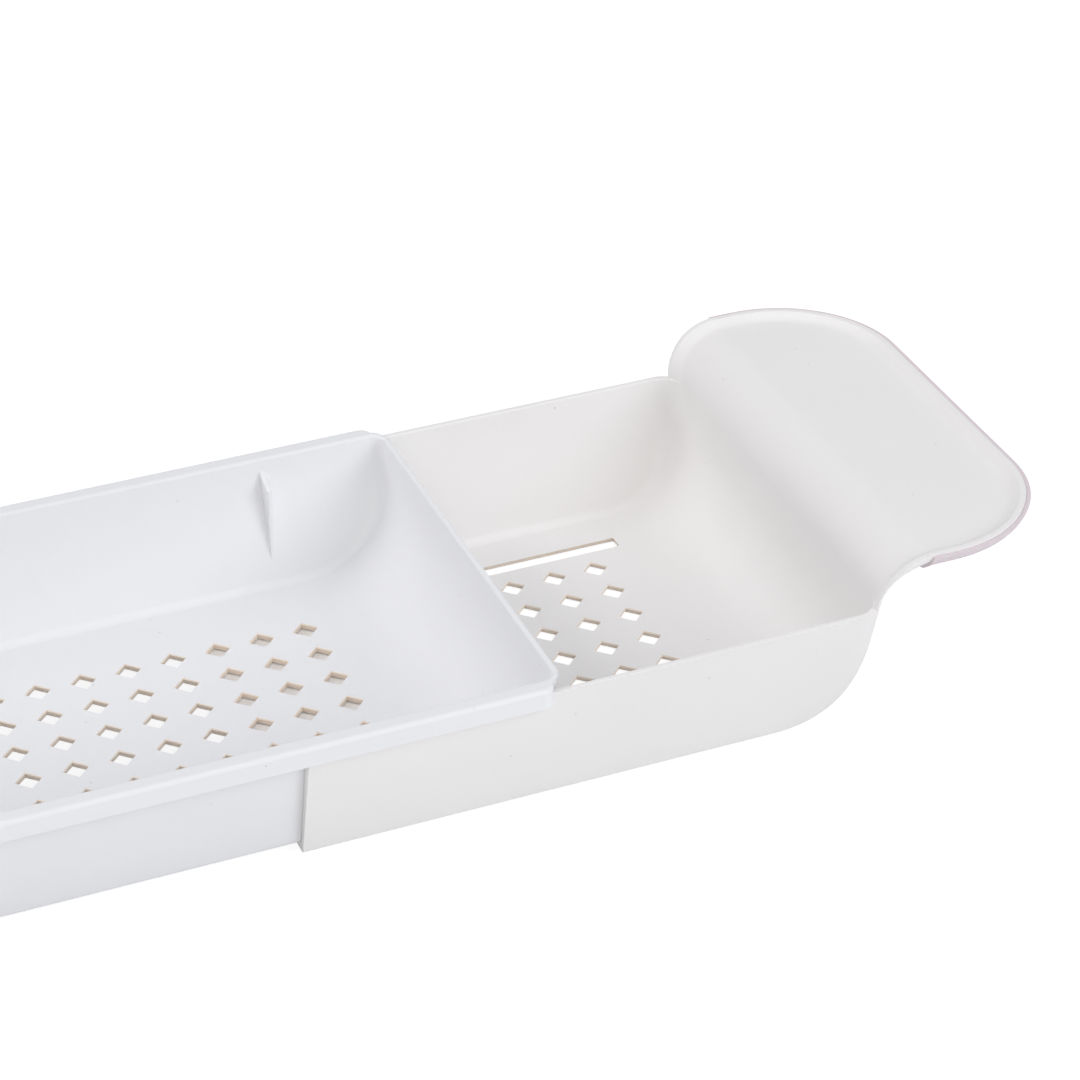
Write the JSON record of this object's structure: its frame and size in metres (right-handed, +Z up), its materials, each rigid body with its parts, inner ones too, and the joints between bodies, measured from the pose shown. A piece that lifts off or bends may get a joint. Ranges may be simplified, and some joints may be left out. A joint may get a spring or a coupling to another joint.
{
  "type": "extending bath caddy",
  "caption": "Extending bath tray: a perforated centre tray nested in sliding end trays, each rising in an S-curve to a flat lipped handle with a soft grip that rests on the tub rim.",
  "frame": {"origin": "on the ground under the middle of the centre tray, midway between the handles", "axes": "+X along the tray towards the right handle, +Y across the tray to the back wall, +Z up; the extension floors' undersides lie at z = 0"},
  "size_m": [0.7792, 0.1566, 0.0586],
  "materials": {
    "centre_tray_plastic": "cool white moulded plastic, satin",
    "extension_plastic": "warm white moulded plastic, satin",
    "grip_rubber": "soft pale pink non-slip rubber, matte"
  },
  "bodies": {
    "centre": {"centre_tray": "centre_tray_plastic"},
    "right_extension": {"right_extension_tray": "extension_plastic", "right_grip": "grip_rubber"},
    "left_extension": {"left_extension_tray": "extension_plastic", "left_grip": "grip_rubber"}
  },
  "joints": [
    {"name": "right_slide", "type": "slide", "parent": "centre", "child": "right_extension", "axis": [1, 0, 0], "range_m": [-0.09, 0.01]},
    {"name": "left_slide", "type": "slide", "parent": "centre", "child": "left_extension", "axis": [-1, 0, 0], "range_m": [-0.09, 0.01]}
  ]
}
